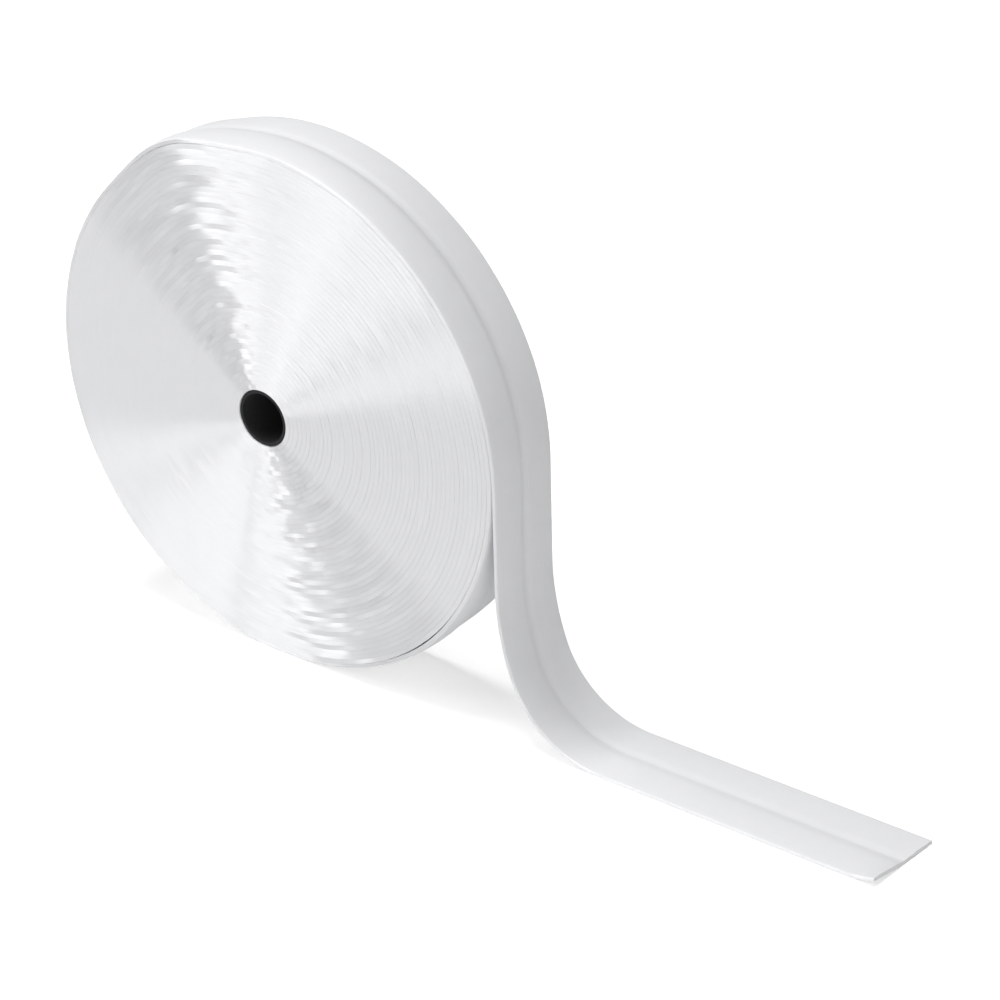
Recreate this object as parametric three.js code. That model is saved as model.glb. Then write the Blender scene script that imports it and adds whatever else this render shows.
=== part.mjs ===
// A roll of woven hook and loop tape that stands on its edge, with its loose end run out on the surface.
// The tape is wound on a small dark core. It leaves the roll level with the core, hangs straight down,
// sweeps outwards in two bends and lies flat as far as its cut end.
// Millimetres. +X is the way the loose end runs, +Y goes from the front face to the rear face, +Z is up.
// The origin is on the surface, under the core and halfway across the tape.
import * as THREE from 'three';

const GAP = 0.3; // clearance between pieces that touch

const TAPE = {
  width: 38,
  thickness: 1.9,
  edge: 0.5, // how far the woven edges are rounded off
  grooveWidth: 1.8, // of the line down the middle of the outer side
  grooveDepth: 0.4,
};

const ROLL = {
  radius: 120, // of the outermost turn, where the loose end leaves it
  pitch: TAPE.thickness + GAP, // one turn's share of the radius
  boreRadius: 13,
  creep: 4.2, // how far the turns next to the core have slid out of the front face
  flat: 0.7, // how deep the lowest turns are pressed flat
  // The outer turns have come slack at the upper left, where they stand off in a low hump.
  slack: { rise: 2.9, middle: THREE.MathUtils.degToRad(122), reach: THREE.MathUtils.degToRad(15) },
  stations: 120,
};

const CORE = {
  length: TAPE.width,
  outerRadius: ROLL.boreRadius - GAP,
  wall: 1.5,
  creep: ROLL.creep - 0.4, // it has slid forwards with the turns next to it, all but level with them
  stations: 48,
};

const LOOSE_END = {
  wideBend: { radius: 115, turn: THREE.MathUtils.degToRad(20), stations: 6 },
  tightBend: { radius: 46.5, stations: 14 },
  reach: 303, // the cut end's distance from the core's axis
  slant: 4, // how far the cut end's front corner falls short of its rear corner
  curl: { length: 20, lift: 2.6, stations: 4 }, // the front part of the cut end is turned up off the surface
};

// The spiral has run in by three quarters of a turn at its lowest point, and that point is pressed flat.
const AXIS_HEIGHT = ROLL.radius - 0.75 * ROLL.pitch - ROLL.flat;
const HALF_WIDTH = TAPE.width / 2;

// A closed mesh from rings of points: each ring is joined to the next one. Rings run round their section
// so that the faces between them point outwards.
function skin(rings, closed) {
  const count = rings[0].length;
  const positions = rings.flat().flatMap((point) => [point.x, point.y, point.z]);
  const indices = [];
  const last = closed ? rings.length : rings.length - 1;
  for (let i = 0; i < last; i += 1) {
    const here = i * count;
    const next = ((i + 1) % rings.length) * count;
    for (let j = 0; j < count; j += 1) {
      const k = (j + 1) % count;
      indices.push(here + j, next + j, next + k);
      indices.push(here + j, next + k, here + k);
    }
  }
  if (!closed) {
    const section = rings[0].map((point) => point.flat);
    const cap = THREE.ShapeUtils.triangulateShape(section, []);
    const end = (rings.length - 1) * count;
    for (const [a, b, c] of cap) {
      indices.push(a, c, b);
      indices.push(end + a, end + b, end + c);
    }
  }
  const geometry = new THREE.BufferGeometry();
  geometry.setAttribute('position', new THREE.Float32BufferAttribute(positions, 3));
  geometry.setIndex(indices);
  geometry.computeVertexNormals();
  return geometry;
}

// The tape's outer side from its front edge to its rear edge, as { across, depth } below the surface.
function outerSide() {
  const { edge, grooveWidth, grooveDepth } = TAPE;
  return [
    { across: -HALF_WIDTH, depth: edge },
    { across: -HALF_WIDTH + edge, depth: 0 },
    { across: -grooveWidth / 2, depth: 0 },
    { across: 0, depth: grooveDepth },
    { across: grooveWidth / 2, depth: 0 },
    { across: HALF_WIDTH - edge, depth: 0 },
    { across: HALF_WIDTH, depth: edge },
  ];
}

// How far the slack outer turns stand off at that angle round the roll.
function slackRise(angle) {
  const { rise, middle, reach } = ROLL.slack;
  const away = Math.min(1, Math.abs(angle - middle) / reach);
  return (rise * (1 + Math.cos(Math.PI * away))) / 2;
}

// The wound turns as one solid. Its radius runs in by one pitch all the way round, and a small step
// is left where the loose end comes off. The hub stands out of the front and is sunk in the rear.
function woundRoll() {
  const { radius, pitch, boreRadius, creep, stations } = ROLL;
  const inner = [
    { across: HALF_WIDTH - creep, radius: boreRadius },
    { across: -HALF_WIDTH - creep, radius: boreRadius },
  ];
  const angles = Array.from({ length: stations }, (_, i) => (2 * Math.PI * i) / stations);
  angles.push(2 * Math.PI - GAP / radius);
  angles.reverse();
  const rings = angles.map((angle) => {
    const outside = radius - (pitch * angle) / (2 * Math.PI) + slackRise(angle);
    const outer = outerSide().map(({ across, depth }) => ({ across, radius: outside - depth }));
    return [...outer, ...inner].map(
      (point) =>
        new THREE.Vector3(
          point.radius * Math.cos(angle),
          point.across,
          Math.max(0, AXIS_HEIGHT + point.radius * Math.sin(angle)),
        ),
    );
  });
  return skin(rings, true);
}

// The tube that the tape is wound on. It is as long as the tape is wide.
function core() {
  const { length, outerRadius, wall, creep, stations } = CORE;
  const front = -length / 2 - creep;
  const rear = length / 2 - creep;
  const profile = [
    new THREE.Vector2(outerRadius - wall, front),
    new THREE.Vector2(outerRadius, front),
    new THREE.Vector2(outerRadius, rear),
    new THREE.Vector2(outerRadius - wall, rear),
    new THREE.Vector2(outerRadius - wall, front),
  ];
  return new THREE.LatheGeometry(profile, stations);
}

// The middle of the loose end's thickness, from the roll to the cut end, as points with the outward
// direction of the tape's outer side. end runs from 0 to 1 over the stretch that curls.
function looseEndPath() {
  const { wideBend, tightBend, reach, curl } = LOOSE_END;
  const half = TAPE.thickness / 2;
  const wideDrop = wideBend.radius * Math.sin(wideBend.turn);
  const tightDrop = tightBend.radius * (1 - Math.sin(wideBend.turn));
  const path = [];
  const add = (x, z, turn, end = 0) => path.push({ x, z, outX: Math.cos(turn), outZ: Math.sin(turn), end });
  const addOnBend = (centre, radius, turn) =>
    add(centre.x - radius * Math.cos(turn), centre.z - radius * Math.sin(turn), turn);

  const top = { x: ROLL.radius - half, z: AXIS_HEIGHT - 2 * GAP };
  add(top.x, top.z, 0);
  const wideCentre = { x: top.x + wideBend.radius, z: half + tightDrop + wideDrop };
  for (let i = 0; i <= wideBend.stations; i += 1) {
    addOnBend(wideCentre, wideBend.radius, (wideBend.turn * i) / wideBend.stations);
  }
  const joined = path[path.length - 1];
  const tightCentre = {
    x: joined.x + tightBend.radius * Math.cos(wideBend.turn),
    z: half + tightBend.radius,
  };
  for (let i = 1; i <= tightBend.stations; i += 1) {
    const turn = wideBend.turn + ((Math.PI / 2 - wideBend.turn) * i) / tightBend.stations;
    addOnBend(tightCentre, tightBend.radius, turn);
  }
  for (let i = 0; i <= curl.stations; i += 1) {
    const end = i / curl.stations;
    add(reach - curl.length * (1 - end), half, Math.PI / 2, end);
  }
  return path;
}

// The stretch of tape that has come off the roll, as one sheet of the tape's own section. Its end is cut
// at a slant, and the part in front of the groove bends up along that groove.
function looseEnd() {
  const { slant, curl } = LOOSE_END;
  const half = TAPE.thickness / 2;
  const outer = outerSide().map(({ across, depth }) => ({ across, out: half - depth }));
  const section = [
    ...outer,
    { across: HALF_WIDTH, out: TAPE.edge - half },
    { across: HALF_WIDTH - TAPE.edge, out: -half },
    { across: -HALF_WIDTH + TAPE.edge, out: -half },
    { across: -HALF_WIDTH, out: TAPE.edge - half },
  ];
  const rings = looseEndPath().map(({ x, z, outX, outZ, end }) =>
    section.map(({ across, out }) => {
      const cut = end * slant * (0.5 - across / TAPE.width);
      const lifted = curl.lift * end ** 2 * Math.max(0, -across / HALF_WIDTH);
      const point = new THREE.Vector3(x + outX * out - cut, across, z + outZ * out + lifted);
      point.flat = new THREE.Vector2(across, out);
      return point;
    }),
  );
  return skin(rings, false);
}

const whiteTape = () => new THREE.MeshStandardMaterial({ color: 0xeeeeef, roughness: 0.6, metalness: 0 });
const darkCore = () => new THREE.MeshStandardMaterial({ color: 0x1c1c1e, roughness: 0.55, metalness: 0 });

function piece(name, geometry, material) {
  const mesh = new THREE.Mesh(geometry, material);
  mesh.name = name;
  return mesh;
}

const roll = new THREE.Group();
roll.add(piece('wound_roll', woundRoll(), whiteTape()));
const coreMesh = piece('core', core(), darkCore());
coreMesh.position.z = AXIS_HEIGHT;
roll.add(coreMesh);
roll.add(piece('loose_end', looseEnd(), whiteTape()));

export default roll;
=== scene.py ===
import math
import random

import bmesh
import bpy
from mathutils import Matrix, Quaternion, Vector


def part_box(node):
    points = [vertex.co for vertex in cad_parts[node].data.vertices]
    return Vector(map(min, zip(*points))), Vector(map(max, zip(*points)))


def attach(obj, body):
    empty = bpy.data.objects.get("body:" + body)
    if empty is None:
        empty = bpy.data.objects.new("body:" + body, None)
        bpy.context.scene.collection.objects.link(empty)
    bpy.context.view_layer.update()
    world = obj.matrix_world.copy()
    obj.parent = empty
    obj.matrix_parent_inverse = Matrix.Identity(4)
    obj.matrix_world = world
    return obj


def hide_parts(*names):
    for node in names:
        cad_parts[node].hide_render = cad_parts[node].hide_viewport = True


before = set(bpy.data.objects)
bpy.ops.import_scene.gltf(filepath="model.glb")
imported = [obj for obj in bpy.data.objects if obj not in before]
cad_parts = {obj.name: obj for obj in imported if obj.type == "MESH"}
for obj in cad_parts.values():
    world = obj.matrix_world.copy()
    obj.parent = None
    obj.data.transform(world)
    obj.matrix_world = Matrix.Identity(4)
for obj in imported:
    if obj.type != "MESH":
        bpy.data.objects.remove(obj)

scene = bpy.context.scene
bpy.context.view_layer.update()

# All sizes are in metres. +X is the way the loose end runs, +Y goes from the front face to the rear face,
# and +Z is up. The roll stands on the floor at the origin.


# ---- Camera ----
# A long lens that looks at the front face from its right and from well above, tipped by a degree and a half.

camera_azimuth = math.radians(37.992)
camera_elevation = math.radians(28.496)
camera_tip = math.radians(-1.585)
camera_distance = 1.175
camera_target = Vector((0.10745, 0.0, 0.10170))

camera_back = Vector(
    (
        math.sin(camera_azimuth) * math.cos(camera_elevation),
        -math.cos(camera_azimuth) * math.cos(camera_elevation),
        math.sin(camera_elevation),
    )
)
camera_data = bpy.data.cameras.new("camera")
camera_data.lens = 103.675
camera_data.sensor_width = 36.0
camera_data.clip_start = 0.05
camera_data.clip_end = 50.0
camera = bpy.data.objects.new("camera", camera_data)
camera.rotation_mode = "QUATERNION"
camera.location = camera_target + camera_back * camera_distance
look = (-camera_back).to_track_quat("-Z", "Y")
camera.rotation_quaternion = look @ Quaternion((0.0, 0.0, 1.0), camera_tip)
scene.collection.objects.link(camera)
scene.camera = camera


# ---- Floor and light ----
# A plain pale floor in soft light: one lamp nearly overhead, one high at the front left, and a low fill in
# front and on the right. The floor is lifted to white for the eye only, so it keeps the roll's shadow.

scene.view_settings.view_transform = "Standard"

floor_half = 2.0
floor_colour = (0.86, 0.86, 0.86, 1.0)
floor_lift = 0.48
surround_light = 0.10

floor_mesh = bpy.data.meshes.new("floor")
floor_bm = bmesh.new()
bmesh.ops.create_grid(floor_bm, x_segments=1, y_segments=1, size=floor_half)
floor_bm.to_mesh(floor_mesh)
floor_bm.free()
floor = bpy.data.objects.new("floor", floor_mesh)
scene.collection.objects.link(floor)


def new_material(name):
    """An empty material, its nodes, its links and its output node."""
    material = bpy.data.materials.new(name)
    material.use_nodes = True
    nodes = material.node_tree.nodes
    nodes.clear()
    return material, nodes, material.node_tree.links, nodes.new("ShaderNodeOutputMaterial")


def seen_directly(nodes, links, mirrored):
    """A node that puts out 1 for what the eye sees straight or through glass, and less in a mirror."""
    path = nodes.new("ShaderNodeLightPath")
    mirror = nodes.new("ShaderNodeMath")
    mirror.operation = "MULTIPLY"
    mirror.inputs[1].default_value = mirrored
    links.new(path.outputs["Is Glossy Ray"], mirror.inputs[0])
    straight = nodes.new("ShaderNodeMath")
    straight.operation = "MAXIMUM"
    links.new(path.outputs["Is Camera Ray"], straight.inputs[0])
    links.new(path.outputs["Is Transmission Ray"], straight.inputs[1])
    either = nodes.new("ShaderNodeMath")
    either.operation = "MAXIMUM"
    links.new(straight.outputs[0], either.inputs[0])
    links.new(mirror.outputs[0], either.inputs[1])
    return either


floor_material, nodes, links, output = new_material("floor")
floor_diffuse = nodes.new("ShaderNodeBsdfDiffuse")
floor_diffuse.inputs["Color"].default_value = floor_colour
floor_glow = nodes.new("ShaderNodeEmission")
glow_share = nodes.new("ShaderNodeMath")
glow_share.operation = "MULTIPLY"
glow_share.inputs[1].default_value = floor_lift
links.new(seen_directly(nodes, links, 0.15).outputs[0], glow_share.inputs[0])
links.new(glow_share.outputs[0], floor_glow.inputs["Strength"])
floor_sum = nodes.new("ShaderNodeAddShader")
links.new(floor_diffuse.outputs[0], floor_sum.inputs[0])
links.new(floor_glow.outputs[0], floor_sum.inputs[1])
links.new(floor_sum.outputs[0], output.inputs["Surface"])
floor_mesh.materials.append(floor_material)

world = bpy.data.worlds.new("surround")
world.use_nodes = True
scene.world = world
nodes, links = world.node_tree.nodes, world.node_tree.links
nodes.clear()
surround = nodes.new("ShaderNodeBackground")
surround.inputs["Color"].default_value = (0.985, 0.99, 1.0, 1.0)
surround.inputs["Strength"].default_value = surround_light
backdrop = nodes.new("ShaderNodeBackground")
backdrop.inputs["Color"].default_value = (1.0, 1.0, 1.0, 1.0)
backdrop.inputs["Strength"].default_value = 1.0
world_mix = nodes.new("ShaderNodeMixShader")
links.new(seen_directly(nodes, links, 0.56).outputs[0], world_mix.inputs["Fac"])
links.new(surround.outputs[0], world_mix.inputs[1])
links.new(backdrop.outputs[0], world_mix.inputs[2])
links.new(world_mix.outputs[0], nodes.new("ShaderNodeOutputWorld").inputs["Surface"])


def add_softbox(name, azimuth, elevation, width, height, strength):
    """A soft lamp in that direction, in degrees, with azimuth 0 in front of the roll and 90 on its right.
    A strength of 1 makes a white surface that faces it white."""
    distance = 3.0
    turn, rise = math.radians(azimuth), math.radians(elevation)
    away = Vector((math.sin(turn) * math.cos(rise), -math.cos(turn) * math.cos(rise), math.sin(rise)))
    data = bpy.data.lights.new(name, "AREA")
    data.shape = "RECTANGLE"
    data.size = width
    data.size_y = height
    data.energy = strength * math.pi**2 * distance**2
    lamp = bpy.data.objects.new(name, data)
    lamp.location = Vector((0.05, 0.0, 0.10)) + away * distance
    lamp.rotation_mode = "QUATERNION"
    lamp.rotation_quaternion = (-away).to_track_quat("-Z", "Y")
    scene.collection.objects.link(lamp)


add_softbox("overhead_softbox", -90.0, 84.0, 1.3, 1.3, 0.67)
add_softbox("front_left_softbox", -57.0, 32.5, 1.7, 1.15, 0.31)
add_softbox("front_fill", -12.5, 10.5, 2.2, 1.15, 0.29)
add_softbox("right_fill", 60.0, 16.0, 2.0, 1.15, 0.25)


# ---- Wound turns ----
# Some twenty metres of woven hook and loop tape, wound on the core with its hooks or loops facing inwards.
# The turns next to the core have crept out of the front face, and no two edges lie quite level. The
# innermost turns hug the core and step over the tape's own end, and each turn outside them does so less.

tape_width = 0.038
half_width = tape_width / 2
tape_thickness = 0.0019
turn_pitch = 0.0022
roll_radius = 0.120
bore_radius = 0.013
hub_creep = 0.0042
flat_depth = 0.0007
axis_height = roll_radius - 0.75 * turn_pitch - flat_depth
press_reach = 0.010
# How far the turns stand off, the angle where they do so most, and how far that reaches on each side of it.
front_slack = (0.0034, math.radians(114.0), math.radians(20.0))
rear_slack = (0.0025, math.radians(122.0), math.radians(15.0))
sag = (0.0005, math.radians(312.0), math.radians(18.0))
edge_scatter = 0.00003
edge_ripples = 15
edge_waviness = 0.006
wound_thickness = 0.00219
last_turn = (roll_radius - bore_radius - wound_thickness) / turn_pitch
hugging_turns = 40
step_length = 0.06

wind_seed = random.Random(11)
turn_count = math.ceil((roll_radius - bore_radius) / turn_pitch) + 1
turn_offsets = [wind_seed.gauss(0.0, edge_scatter) for _ in range(turn_count + 1)]
turn_ripples = [
    [(wind_seed.uniform(0.6, 1.4), wind_seed.uniform(0.0, 2 * math.pi)) for _ in range(3)]
    for _ in range(turn_count + 1)
]


def turn_radius(angle):
    """The outer side's radius. The angle grows inwards along the tape, from where it leaves the roll."""
    turns = angle / (2 * math.pi)
    before_end = last_turn - turns
    hug = min(1.0, max(0.0, 1 - (before_end - 1) / hugging_turns))
    step = min(1.0, (1 - before_end % 1) / step_length)
    hugged = last_turn - math.floor(before_end) - 1 + step * step * (3 - 2 * step)
    return roll_radius - turn_pitch * (turns + hug * (hugged - turns))


def length_from_leaving(angle):
    """How much tape lies between the point where it leaves the roll and that angle."""
    return (roll_radius - tape_thickness / 2) * angle - turn_pitch * angle**2 / (4 * math.pi)


def low_hump(angle, rise, middle, reach):
    """A smooth rise and fall round the middle angle, which is 0 beyond its reach."""
    away = min(1.0, abs(angle % (2 * math.pi) - middle) / reach)
    return rise * (1 + math.cos(math.pi * away)) / 2


def slack_at(angle, across):
    """How far a turn stands off: the outer turns at the upper left, and the outermost at the lower right."""
    front_share = 0.5 - across / tape_width
    hump = front_share * low_hump(angle, *front_slack) + (1 - front_share) * low_hump(angle, *rear_slack)
    if angle < 2 * math.pi:
        return hump + low_hump(angle, *sag)
    return hump * (turn_radius(angle) - bore_radius) / (roll_radius - bore_radius)


def edge_shift(angle):
    """How far the whole width has slid towards the rear: the creep of the hub, and each turn's own place."""
    radius = turn_radius(angle)
    creep = hub_creep * (roll_radius - radius) / (roll_radius - bore_radius)
    turns = angle / (2 * math.pi)
    turn = int(turns)
    share = turns - turn
    blend = share * share * (3 - 2 * share)
    wander = turn_offsets[turn] * (1 - blend) + turn_offsets[turn + 1] * blend
    ripple = 0.0
    for order, (strength, phase) in enumerate(turn_ripples[turn]):
        waves = edge_ripples + 7 * order
        ripple += strength * math.sin(waves * angle + phase) / waves
    fade = math.sin(math.pi * share) ** 0.5 if share > 0 else 0.0
    return -creep + wander + edge_waviness * radius * ripple * fade


def pressed(point):
    """The point lifted clear of the floor where the roll's weight has pressed it flat."""
    reach = roll_radius - 0.75 * turn_pitch
    if abs(point.x) >= reach or point.z > axis_height:
        return point
    lowest = min(0.0, axis_height - math.sqrt(reach**2 - point.x**2))
    share = math.exp(-max(0.0, point.z - lowest) / press_reach)
    return Vector((point.x, point.y, max(0.0, point.z - lowest * share)))


def on_roll(angle, across, out):
    """Where a point of the tape lies on the roll. out is its height over the tape's outer side."""
    radius = turn_radius(angle) + slack_at(angle, across) + out
    point = Vector(
        (
            radius * math.cos(angle),
            across + edge_shift(angle),
            axis_height + radius * math.sin(angle),
        )
    )
    return pressed(point)


def make_strip(name, section, lengths, angles, bend):
    """A closed strip of tape. It is made flat, with the section's (across, out) points along each of the
    lengths, then bend(station, across, out) brings it into shape. Its UV map is in metres of tape, and its
    "turns" attribute counts the turns inwards from where the tape leaves the roll."""
    around = [0.0]
    for (a0, o0), (a1, o1) in zip(section, section[1:] + section[:1]):
        around.append(around[-1] + math.hypot(a1 - a0, o1 - o0))
    count = len(section)
    past_middle = next(i for i in range(count) if section[i][0] >= 0)
    middle = around[past_middle] - section[past_middle][0]
    stations = len(lengths) - 1
    bm = bmesh.new()
    bmesh.ops.create_grid(bm, x_segments=stations, y_segments=count, size=1.0)
    uv = bm.loops.layers.uv.new("tape")
    edge_from = half_width - 0.0002
    inner_from = min(out for _, out in section) + 0.0001
    station = bm.verts.layers.int.new("station")
    corner = bm.verts.layers.int.new("corner")
    turns = bm.verts.layers.float.new("turns")
    for vert in bm.verts:
        vert[station] = round((vert.co.x + 1) / 2 * stations)
        vert[corner] = round((vert.co.y + 1) / 2 * count)
        vert[turns] = angles[vert[station]] / (2 * math.pi)
    for face in bm.faces:
        face.smooth = True
        ends = [section[loop.vert[corner] % count] for loop in face.loops]
        if all(abs(across) > edge_from for across, _ in ends):
            face.material_index = 1
        elif all(out < inner_from for _, out in ends):
            face.material_index = 2
        for loop in face.loops:
            loop[uv].uv = (lengths[loop.vert[station]], around[loop.vert[corner]] - middle)
    for vert in bm.verts:
        vert[corner] %= count
        across, out = section[vert[corner]]
        vert.co = Vector((lengths[vert[station]], across, out))
    bmesh.ops.remove_doubles(bm, verts=bm.verts, dist=1e-7)
    rim = [edge for edge in bm.edges if edge.is_boundary]
    bmesh.ops.holes_fill(bm, edges=rim, sides=0)
    for edge in rim:
        edge.smooth = False
    bmesh.ops.recalc_face_normals(bm, faces=bm.faces)
    for vert in bm.verts:
        across, out = section[vert[corner]]
        vert.co = bend(vert[station], across, out)
    mesh = bpy.data.meshes.new(name)
    bm.to_mesh(mesh)
    bm.free()
    obj = bpy.data.objects.new(name, mesh)
    scene.collection.objects.link(obj)
    return obj


edge_round = 0.00005
edge_round_height = 0.00016
wound_section = [
    (-half_width, -edge_round_height),
    (-half_width + edge_round * 0.25, -edge_round_height * 0.4),
    (-half_width + edge_round, 0.0),
    (half_width - edge_round, 0.0),
    (half_width - edge_round * 0.25, -edge_round_height * 0.4),
    (half_width, -edge_round_height),
    (half_width, edge_round_height - wound_thickness),
    (half_width - edge_round * 0.25, edge_round_height * 0.4 - wound_thickness),
    (half_width - edge_round, -wound_thickness),
    (-half_width + edge_round, -wound_thickness),
    (-half_width + edge_round * 0.25, edge_round_height * 0.4 - wound_thickness),
    (-half_width, edge_round_height - wound_thickness),
]
stations_per_turn = 96
first_station = stations_per_turn
last_station = math.floor(stations_per_turn * last_turn)
wound_angles = [
    2 * math.pi * i / stations_per_turn for i in range(last_station, first_station - 1, -1)
]
wound_lengths = [-length_from_leaving(angle) for angle in wound_angles]


def on_wound_tape(station, across, out):
    """A point of the wound turns. The inner side of each one lies on the turn below it or on the core."""
    angle = wound_angles[station]
    below = angle + 2 * math.pi
    if out < -wound_thickness / 2:
        rests_at = bore_radius + wound_thickness
        if below < wound_angles[0]:
            rests_at = turn_radius(below) + slack_at(below, across) + turn_pitch
        out += rests_at - turn_radius(angle) - slack_at(angle, across)
    return on_roll(angle, across, out)


tape_turns = make_strip("tape_turns", wound_section, wound_lengths, wound_angles, on_wound_tape)


def line_at(nodes, links, position, centre, half):
    """A soft line along the tape: 1 at that distance across it, falling to 0 at half its breadth."""
    away = nodes.new("ShaderNodeMath")
    away.operation = "SUBTRACT"
    away.inputs[1].default_value = centre
    links.new(position, away.inputs[0])
    size = nodes.new("ShaderNodeMath")
    size.operation = "ABSOLUTE"
    links.new(away.outputs[0], size.inputs[0])
    line = nodes.new("ShaderNodeMapRange")
    line.interpolation_type = "SMOOTHSTEP"
    line.inputs["From Min"].default_value = 0.0
    line.inputs["From Max"].default_value = half
    line.inputs["To Min"].default_value = 1.0
    line.inputs["To Max"].default_value = 0.0
    links.new(size.outputs[0], line.inputs["Value"])
    return line.outputs["Result"]


# The weave: ribs along the tape crossed by finer threads. It puts out a height and a slow unevenness.
weave = bpy.data.node_groups.new("tape_weave", "ShaderNodeTree")
weave.interface.new_socket("Along", in_out="INPUT", socket_type="NodeSocketFloat")
weave.interface.new_socket("Across", in_out="INPUT", socket_type="NodeSocketFloat")
weave.interface.new_socket("Height", in_out="OUTPUT", socket_type="NodeSocketFloat")
weave.interface.new_socket("Unevenness", in_out="OUTPUT", socket_type="NodeSocketFloat")
nodes, links = weave.nodes, weave.links
weave_in = nodes.new("NodeGroupInput")
weave_out = nodes.new("NodeGroupOutput")


def thread_wave(position, spacing):
    """Rounded threads at that spacing, from 0 between them to 1 on top."""
    turns = nodes.new("ShaderNodeMath")
    turns.operation = "MULTIPLY"
    turns.inputs[1].default_value = math.pi / spacing
    links.new(position, turns.inputs[0])
    wave = nodes.new("ShaderNodeMath")
    wave.operation = "SINE"
    links.new(turns.outputs[0], wave.inputs[0])
    rounded = nodes.new("ShaderNodeMath")
    rounded.operation = "ABSOLUTE"
    links.new(wave.outputs[0], rounded.inputs[0])
    return rounded.outputs[0]


rib_spacing = 0.0009
pick_spacing = 0.00045
ribs = thread_wave(weave_in.outputs["Across"], rib_spacing)
picks = thread_wave(weave_in.outputs["Along"], pick_spacing)
crossed = nodes.new("ShaderNodeMath")
crossed.operation = "MULTIPLY_ADD"
crossed.inputs[1].default_value = 0.5
links.new(picks, crossed.inputs[0])
links.new(ribs, crossed.inputs[2])
links.new(crossed.outputs[0], weave_out.inputs["Height"])
place = nodes.new("ShaderNodeCombineXYZ")
links.new(weave_in.outputs["Along"], place.inputs["X"])
links.new(weave_in.outputs["Across"], place.inputs["Y"])
blotch = nodes.new("ShaderNodeTexNoise")
blotch.inputs["Scale"].default_value = 90.0
blotch.inputs["Detail"].default_value = 3.0
links.new(place.outputs[0], blotch.inputs["Vector"])
links.new(blotch.outputs["Fac"], weave_out.inputs["Unevenness"])

# White nylon. Its outer side is woven and nearly matt, its edges have a satin sheen that runs along the
# threads, and its inner side is a dense pile.
# Shade is painted along the outer side's middle groove and in a band across the wound edges.
nylon_white = (0.835, 0.84, 0.85, 1.0)
# The darker white that every mix leans to: the weave's own unevenness and pile, and the painted shade along
# the groove and across the roll.
nylon_tone_and_painted_shade = (0.60, 0.605, 0.62, 1.0)
selvedge_line = 0.0159
selvedge_share = 0.05
line_half = 0.0006
# Painted shade along the outer side's middle groove: its half breadth, and its faint share away from the
# upper right of the roll.
groove_painted_shade_half = 0.0042
groove_painted_shade_faint = 0.06
wavy_at = math.radians(113.0)
wavy_reach = math.radians(42.0)
# A band of painted shade right across the wound edges, at this angle and opposite it, streaked turn by turn.
painted_shade_at = math.radians(128.0)
painted_shade_reach = math.radians(20.0)
painted_shade_share = 0.66
streaks_around = 4.0
streaks_per_turn = 2.3
ripple_depth = 0.0095
ripple_fading = 0.019


def nylon_base(name):
    """White nylon with its weave placed by the tape's own map, ready for its finish."""
    material, nodes, links, output = new_material(name)
    nylon = nodes.new("ShaderNodeBsdfPrincipled")
    links.new(nylon.outputs[0], output.inputs["Surface"])
    tape_map = nodes.new("ShaderNodeUVMap")
    tape_map.uv_map = "tape"
    split = nodes.new("ShaderNodeSeparateXYZ")
    links.new(tape_map.outputs[0], split.inputs[0])
    woven = nodes.new("ShaderNodeGroup")
    woven.node_tree = weave
    links.new(split.outputs["X"], woven.inputs["Along"])
    links.new(split.outputs["Y"], woven.inputs["Across"])
    return material, nodes, links, nylon, split, woven


def mixed_white(nodes, links, nylon, share):
    """The nylon's white, shaded by that share."""
    white = nodes.new("ShaderNodeMix")
    white.data_type = "RGBA"
    white.inputs[6].default_value = nylon_white
    white.inputs[7].default_value = nylon_tone_and_painted_shade
    links.new(share, white.inputs[0])
    links.new(white.outputs[2], nylon.inputs["Base Color"])


def uneven_share(nodes, links, woven, strongest):
    """A slow cloudiness of the white, from 0 up to that share."""
    even = nodes.new("ShaderNodeMapRange")
    even.inputs["From Min"].default_value = 0.3
    even.inputs["From Max"].default_value = 0.7
    even.inputs["To Min"].default_value = strongest
    even.inputs["To Max"].default_value = 0.0
    links.new(woven.outputs["Unevenness"], even.inputs["Value"])
    return even.outputs["Result"]


def raised(nodes, links, nylon, height, strength, distance):
    """A bump of that height on the nylon."""
    bump = nodes.new("ShaderNodeBump")
    bump.inputs["Strength"].default_value = strength
    bump.inputs["Distance"].default_value = distance
    links.new(height, bump.inputs["Height"])
    links.new(bump.outputs[0], nylon.inputs["Normal"])


def turns_and_angle(nodes, links):
    """The count of turns inwards from where the tape leaves the roll, and that count as an angle."""
    turns = nodes.new("ShaderNodeAttribute")
    turns.attribute_name = "turns"
    angle = nodes.new("ShaderNodeMath")
    angle.operation = "MULTIPLY"
    angle.inputs[1].default_value = 2 * math.pi
    links.new(turns.outputs["Fac"], angle.inputs[0])
    return turns.outputs["Fac"], angle.outputs[0]


def band_across(nodes, links, angle, middle, reach, low):
    """A mask for a band that runs right across the roll at that angle: 1 along it, low beyond its reach."""
    doubled = nodes.new("ShaderNodeMath")
    doubled.operation = "MULTIPLY_ADD"
    doubled.inputs[1].default_value = 2.0
    doubled.inputs[2].default_value = -2 * middle
    links.new(angle, doubled.inputs[0])
    swing = nodes.new("ShaderNodeMath")
    swing.operation = "COSINE"
    links.new(doubled.outputs[0], swing.inputs[0])
    band = nodes.new("ShaderNodeMapRange")
    band.interpolation_type = "SMOOTHSTEP"
    band.inputs["From Min"].default_value = math.cos(2 * reach)
    band.inputs["From Max"].default_value = 1.0
    band.inputs["To Min"].default_value = low
    band.inputs["To Max"].default_value = 1.0
    links.new(swing.outputs[0], band.inputs["Value"])
    return band.outputs["Result"]


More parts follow.
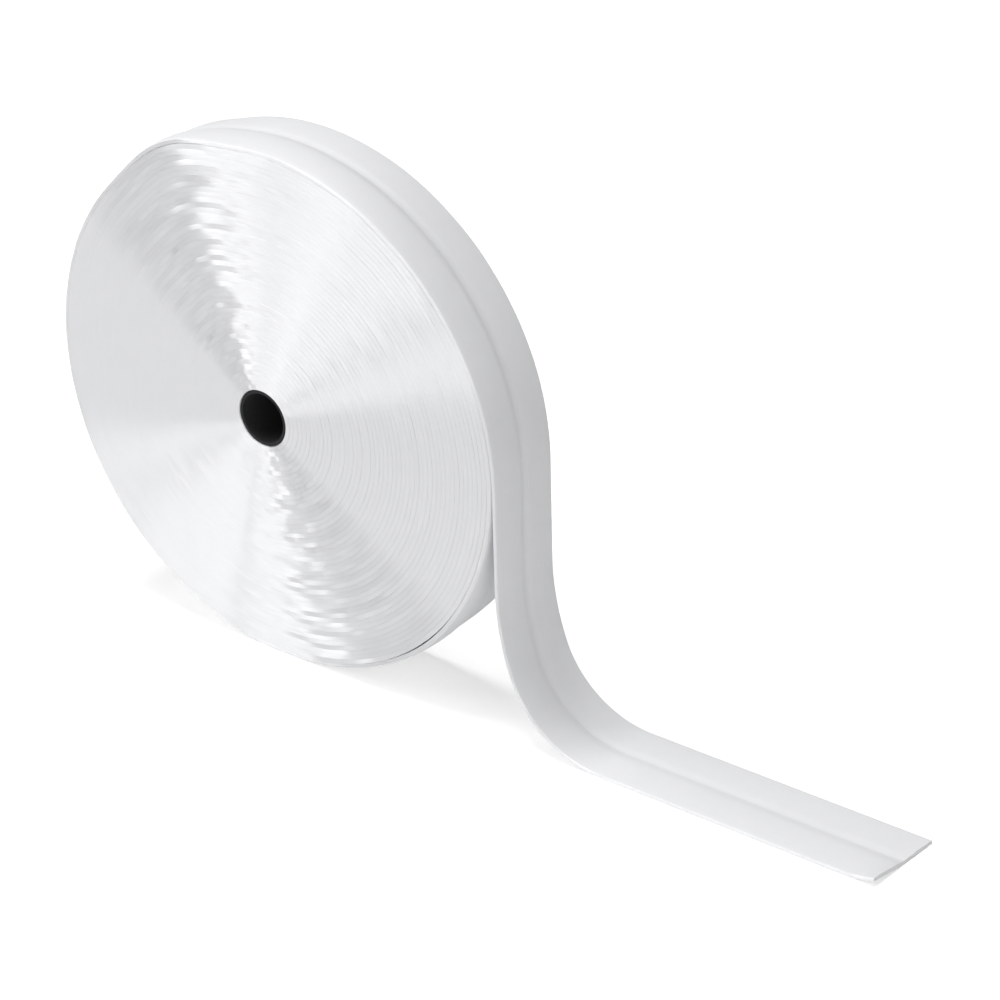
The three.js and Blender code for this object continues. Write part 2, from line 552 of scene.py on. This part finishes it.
def turn_streaks(nodes, links, turns, angle):
    """Slow streaks along the wound edges, which differ from turn to turn."""
    spot = nodes.new("ShaderNodeCombineXYZ")
    for wave, axis in (("SINE", "X"), ("COSINE", "Y")):
        part = nodes.new("ShaderNodeMath")
        part.operation = wave
        links.new(angle, part.inputs[0])
        around = nodes.new("ShaderNodeMath")
        around.operation = "MULTIPLY"
        around.inputs[1].default_value = streaks_around
        links.new(part.outputs[0], around.inputs[0])
        links.new(around.outputs[0], spot.inputs[axis])
    apart = nodes.new("ShaderNodeMath")
    apart.operation = "MULTIPLY"
    apart.inputs[1].default_value = streaks_per_turn
    links.new(turns, apart.inputs[0])
    links.new(apart.outputs[0], spot.inputs["Z"])
    streaks = nodes.new("ShaderNodeTexNoise")
    streaks.inputs["Scale"].default_value = 1.0
    streaks.inputs["Detail"].default_value = 0.0
    links.new(spot.outputs[0], streaks.inputs["Vector"])
    return streaks.outputs["Fac"]


def ripple_height(nodes, links, turns, angle, streaks):
    """Ripples along the wound edges, which grow smaller inwards. They are strongest in a band across the
    roll, where the wound tape has been squeezed."""
    fading = nodes.new("ShaderNodeMath")
    fading.operation = "MULTIPLY_ADD"
    fading.inputs[1].default_value = -ripple_fading
    fading.inputs[2].default_value = 1.0
    links.new(turns, fading.inputs[0])
    strength = nodes.new("ShaderNodeMath")
    strength.operation = "MULTIPLY"
    links.new(band_across(nodes, links, angle, wavy_at, wavy_reach, 0.15), strength.inputs[0])
    links.new(fading.outputs[0], strength.inputs[1])
    height = nodes.new("ShaderNodeMath")
    height.operation = "MULTIPLY"
    links.new(streaks, height.inputs[0])
    links.new(strength.outputs[0], height.inputs[1])
    return height.outputs[0]


outer_material, nodes, links, nylon, split, woven = nylon_base("woven_nylon")
nylon.inputs["Roughness"].default_value = 0.5
shade = uneven_share(nodes, links, woven, 0.06)
# Painted shade down the middle groove. It is faint on the loose end and strongest over the upper right of
# the roll, and it is placed by the turns count.
groove_shade_turns = nodes.new("ShaderNodeAttribute")
groove_shade_turns.attribute_name = "turns"
groove_painted_shade = nodes.new("ShaderNodeFloatCurve")
groove_painted_shade_curve = groove_painted_shade.mapping.curves[0]
groove_painted_shade_curve.points[0].location = (0.0, groove_painted_shade_faint)
groove_painted_shade_curve.points[1].location = (1.0, groove_painted_shade_faint)
for turn, share in ((0.03, 0.12), (0.09, 0.28), (0.17, 0.26), (0.26, groove_painted_shade_faint)):
    groove_painted_shade_curve.points.new(turn, share)
groove_painted_shade.mapping.update()
links.new(groove_shade_turns.outputs["Fac"], groove_painted_shade.inputs["Value"])
groove_painted_shade_line = nodes.new("ShaderNodeMath")
groove_painted_shade_line.operation = "MULTIPLY_ADD"
links.new(line_at(nodes, links, split.outputs["Y"], 0.0, groove_painted_shade_half), groove_painted_shade_line.inputs[0])
links.new(groove_painted_shade.outputs[0], groove_painted_shade_line.inputs[1])
links.new(shade, groove_painted_shade_line.inputs[2])
shade = groove_painted_shade_line.outputs[0]
for centre in (-selvedge_line, selvedge_line):
    deepened = nodes.new("ShaderNodeMath")
    deepened.operation = "MULTIPLY_ADD"
    deepened.inputs[1].default_value = selvedge_share
    links.new(line_at(nodes, links, split.outputs["Y"], centre, line_half), deepened.inputs[0])
    links.new(shade, deepened.inputs[2])
    shade = deepened.outputs[0]
mixed_white(nodes, links, nylon, shade)
raised(nodes, links, nylon, woven.outputs["Height"], 0.25, 0.00008)

edge_material, nodes, links, nylon, split, woven = nylon_base("satin_selvedge")
nylon.inputs["Roughness"].default_value = 0.47
nylon.inputs["Metallic"].default_value = 0.54
nylon.inputs["Anisotropic"].default_value = 1.0
nylon.inputs["Anisotropic Rotation"].default_value = 0.25
grain = nodes.new("ShaderNodeTangent")
grain.direction_type = "UV_MAP"
grain.uv_map = "tape"
links.new(grain.outputs[0], nylon.inputs["Tangent"])
turns, angle = turns_and_angle(nodes, links)
streaks = turn_streaks(nodes, links, turns, angle)
# Painted shade in a band across the roll's edges, beside the sheen's toothed border, streaked turn by turn.
# The slow unevenness added to it is the nylon's own tone.
streaked_painted_shade = nodes.new("ShaderNodeMath")
streaked_painted_shade.operation = "MULTIPLY"
links.new(band_across(nodes, links, angle, painted_shade_at, painted_shade_reach, 0.0), streaked_painted_shade.inputs[0])
links.new(streaks, streaked_painted_shade.inputs[1])
tone_and_painted_shade = nodes.new("ShaderNodeMath")
tone_and_painted_shade.operation = "MULTIPLY_ADD"
tone_and_painted_shade.inputs[1].default_value = painted_shade_share
links.new(streaked_painted_shade.outputs[0], tone_and_painted_shade.inputs[0])
links.new(uneven_share(nodes, links, woven, 0.04), tone_and_painted_shade.inputs[2])
mixed_white(nodes, links, nylon, tone_and_painted_shade.outputs[0])
raised(nodes, links, nylon, ripple_height(nodes, links, turns, angle, streaks), 1.0, ripple_depth)

pile_material, nodes, links, nylon, split, woven = nylon_base("hooks_and_loops")
nylon.inputs["Roughness"].default_value = 0.8
pile = nodes.new("ShaderNodeTexVoronoi")
pile.inputs["Scale"].default_value = 1400.0
pile_place = nodes.new("ShaderNodeTexCoord")
links.new(pile_place.outputs["Object"], pile.inputs["Vector"])
pile_share = nodes.new("ShaderNodeMath")
pile_share.operation = "MULTIPLY"
pile_share.inputs[1].default_value = 0.5
pile_share.use_clamp = True
links.new(pile.outputs["Distance"], pile_share.inputs[0])
mixed_white(nodes, links, nylon, pile_share.outputs[0])
raised(nodes, links, nylon, pile.outputs["Distance"], 0.6, -0.0004)

tape_materials = [outer_material, edge_material, pile_material]
for finish in tape_materials:
    tape_turns.data.materials.append(finish)
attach(tape_turns, "root")
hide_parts("wound_roll")


# ---- Outer turn and loose end ----
# The same tape's outermost turn, which leaves the roll level with the core, hangs down, sweeps out in two
# bends and lies flat to its cut end. It arches a little on each side of the line down its middle.

drop_turn = math.radians(20.0)
wide_radius = 0.115
tight_radius = 0.0465
end_reach = 0.303
cut_slant = 0.004
curl_length = 0.020
curl_lift = 0.0026
lying_flatness = 0.5
loosening = math.radians(15.0)

half_thickness = tape_thickness / 2
wide_start = half_thickness + tight_radius * (1 - math.sin(drop_turn)) + wide_radius * math.sin(drop_turn)
drop_length = axis_height - wide_start
wide_length = wide_radius * drop_turn
tight_length = tight_radius * (math.pi / 2 - drop_turn)
hang_x = roll_radius - half_thickness
wide_end_x = hang_x + wide_radius * (1 - math.cos(drop_turn))
lying_start_x = wide_end_x + tight_radius * math.cos(drop_turn)
lying_length = end_reach - lying_start_x
loose_length = drop_length + wide_length + tight_length + lying_length


def loose_path(length):
    """The middle of the tape's thickness that far from the roll, and how far it has turned from hanging."""
    if length <= drop_length:
        return hang_x, axis_height - length, 0.0
    length -= drop_length
    if length <= wide_length:
        turn = length / wide_radius
        x = hang_x + wide_radius * (1 - math.cos(turn))
        return x, wide_start - wide_radius * math.sin(turn), turn
    length -= wide_length
    if length <= tight_length:
        turn = drop_turn + length / tight_radius
        x = lying_start_x - tight_radius * math.cos(turn)
        return x, half_thickness + tight_radius * (1 - math.sin(turn)), turn
    length -= tight_length
    return lying_start_x + length, half_thickness, math.pi / 2


def on_loose_end(length, across, out):
    """Where a point of the loose end lies. out is its height over the tape's outer side."""
    x, z, turn = loose_path(length)
    lying = min(1.0, max(0.0, (length - drop_length) / (wide_length + tight_length)))
    if out > -half_thickness:
        out *= 1 - lying_flatness * lying
    rise = out + half_thickness
    end = max(0.0, 1.0 - (loose_length - length) / curl_length)
    cut = end * cut_slant * (0.5 - across / tape_width)
    lifted = curl_lift * end**2 * max(0.0, -across / half_width)
    height = z + rise * math.sin(turn) + lifted
    return Vector((x + rise * math.cos(turn) - cut, across, max(0.0, height)))


front_tilts = (math.radians(9.0), math.radians(10.5))
rear_tilts = (math.radians(3.0), math.radians(5.0))
groove_half = 0.0042
groove_depth = 0.0004
profile_steps = (0.5, 1.0, 1.5, 2.1, 2.8, 3.5, 4.2, 5.6, 7.2, 9.0, 11.0, 13.0, 15.0, 16.6, 17.8, 18.4)


def outer_half(side, near_tilt, far_tilt):
    """The outer side's (across, out) points from the groove to one edge, as a low arch. It rises at the near
    tilt beside the groove and falls at the far tilt by the edge. The side is -1 in front and 1 behind."""
    half = []
    for millimetres in profile_steps:
        away = millimetres / 1000
        arch = math.tan(near_tilt) * away
        arch -= (math.tan(near_tilt) + math.tan(far_tilt)) * away**2 / tape_width
        valley = (1 + math.cos(math.pi * min(1.0, away / groove_half))) / 2
        half.append((away, arch - groove_depth * valley))
    edge = half[-1][1]
    half += [
        (half_width - 0.00025, edge - 0.0001),
        (half_width - 0.00007, edge - 0.00022),
        (half_width, edge - 0.0004),
    ]
    return [(side * across, out) for across, out in half]


def outer_profile():
    """The outer side's points from the front edge to the rear edge. The front half is the fuller one."""
    front = outer_half(-1, *front_tilts)[::-1]
    return front + [(0.0, -groove_depth)] + outer_half(1, *rear_tilts)


def inner_profile():
    """The inner side's points, back from the rear edge to the front edge."""
    rear = [
        (half_width, 0.0003 - tape_thickness),
        (half_width - 0.0001, 0.0001 - tape_thickness),
        (half_width - 0.0004, -tape_thickness),
        (half_width - 0.0010, -tape_thickness),
        (selvedge_line, -tape_thickness),
        (0.0, -tape_thickness),
    ]
    return rear + [(-across, out) for across, out in reversed(rear[:-1])]


outer_section = outer_profile() + inner_profile()
roll_stations = [2 * math.pi * i / 144 for i in range(144, 0, -1)]
loose_stations = [loose_length * i / 96 for i in range(97)]
outer_lengths = [-length_from_leaving(angle) for angle in roll_stations] + loose_stations


def on_outer_tape(station, across, out):
    """The outermost turn first, lying tight on the turn below it, then the loose end."""
    if station < len(roll_stations):
        angle = roll_stations[station]
        tight = min(1.0, angle / loosening)
        if out < 0:
            out *= 1 + (wound_thickness / tape_thickness - 1) * tight
        return on_roll(angle, across, out)
    return on_loose_end(loose_stations[station - len(roll_stations)], across, out)


outer_angles = roll_stations + [0.0] * len(loose_stations)
outer_tape = make_strip("outer_tape", outer_section, outer_lengths, outer_angles, on_outer_tape)
for finish in tape_materials:
    outer_tape.data.materials.append(finish)
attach(outer_tape, "root")
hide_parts("loose_end")


# ---- Core ----
# The short dark tube that the tape is wound on. It has slid forwards with the turns next to it.

core_low, core_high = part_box("core")
core_radius = (core_high.x - core_low.x) / 2
core_wall = 0.0015
core_round = 0.0003

core_bm = bmesh.new()
corners = [
    core_bm.verts.new((core_radius - core_wall, core_low.y, axis_height)),
    core_bm.verts.new((core_radius, core_low.y, axis_height)),
    core_bm.verts.new((core_radius, core_high.y, axis_height)),
    core_bm.verts.new((core_radius - core_wall, core_high.y, axis_height)),
]
core_loop = [core_bm.edges.new((corners[i], corners[(i + 1) % 4])) for i in range(4)]
bmesh.ops.spin(
    core_bm,
    geom=corners + core_loop,
    cent=(0.0, 0.0, axis_height),
    axis=(0.0, 1.0, 0.0),
    angle=2 * math.pi,
    steps=64,
    use_merge=True,
)
bmesh.ops.remove_doubles(core_bm, verts=core_bm.verts, dist=1e-6)
rims = [e for e in core_bm.edges if e.calc_face_angle(0.0) > math.radians(60)]
bmesh.ops.bevel(
    core_bm, geom=rims, offset=core_round, segments=3, profile=0.5, material=-1, affect="EDGES"
)
bmesh.ops.recalc_face_normals(core_bm, faces=core_bm.faces)
for face in core_bm.faces:
    face.smooth = True
core_mesh = bpy.data.meshes.new("core_tube")
core_bm.to_mesh(core_mesh)
core_bm.free()
core_tube = bpy.data.objects.new("core_tube", core_mesh)
scene.collection.objects.link(core_tube)

core_material, nodes, links, output = new_material("dark_tube")
board = nodes.new("ShaderNodeBsdfPrincipled")
board.inputs["Roughness"].default_value = 0.7
board.inputs["Specular IOR Level"].default_value = 0.15
links.new(board.outputs[0], output.inputs["Surface"])
core_place = nodes.new("ShaderNodeTexCoord")
core_grain = nodes.new("ShaderNodeTexNoise")
core_grain.inputs["Scale"].default_value = 600.0
core_grain.inputs["Detail"].default_value = 4.0
links.new(core_place.outputs["Object"], core_grain.inputs["Vector"])
core_tone = nodes.new("ShaderNodeMix")
core_tone.data_type = "RGBA"
core_tone.inputs[6].default_value = (0.016, 0.016, 0.017, 1.0)
core_tone.inputs[7].default_value = (0.030, 0.030, 0.032, 1.0)
links.new(core_grain.outputs["Fac"], core_tone.inputs[0])
links.new(core_tone.outputs[2], board.inputs["Base Color"])
core_bump = nodes.new("ShaderNodeBump")
core_bump.inputs["Strength"].default_value = 0.2
core_bump.inputs["Distance"].default_value = 0.0001
links.new(core_grain.outputs["Fac"], core_bump.inputs["Height"])
links.new(core_bump.outputs[0], board.inputs["Normal"])
core_mesh.materials.append(core_material)
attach(core_tube, "root")
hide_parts("core")
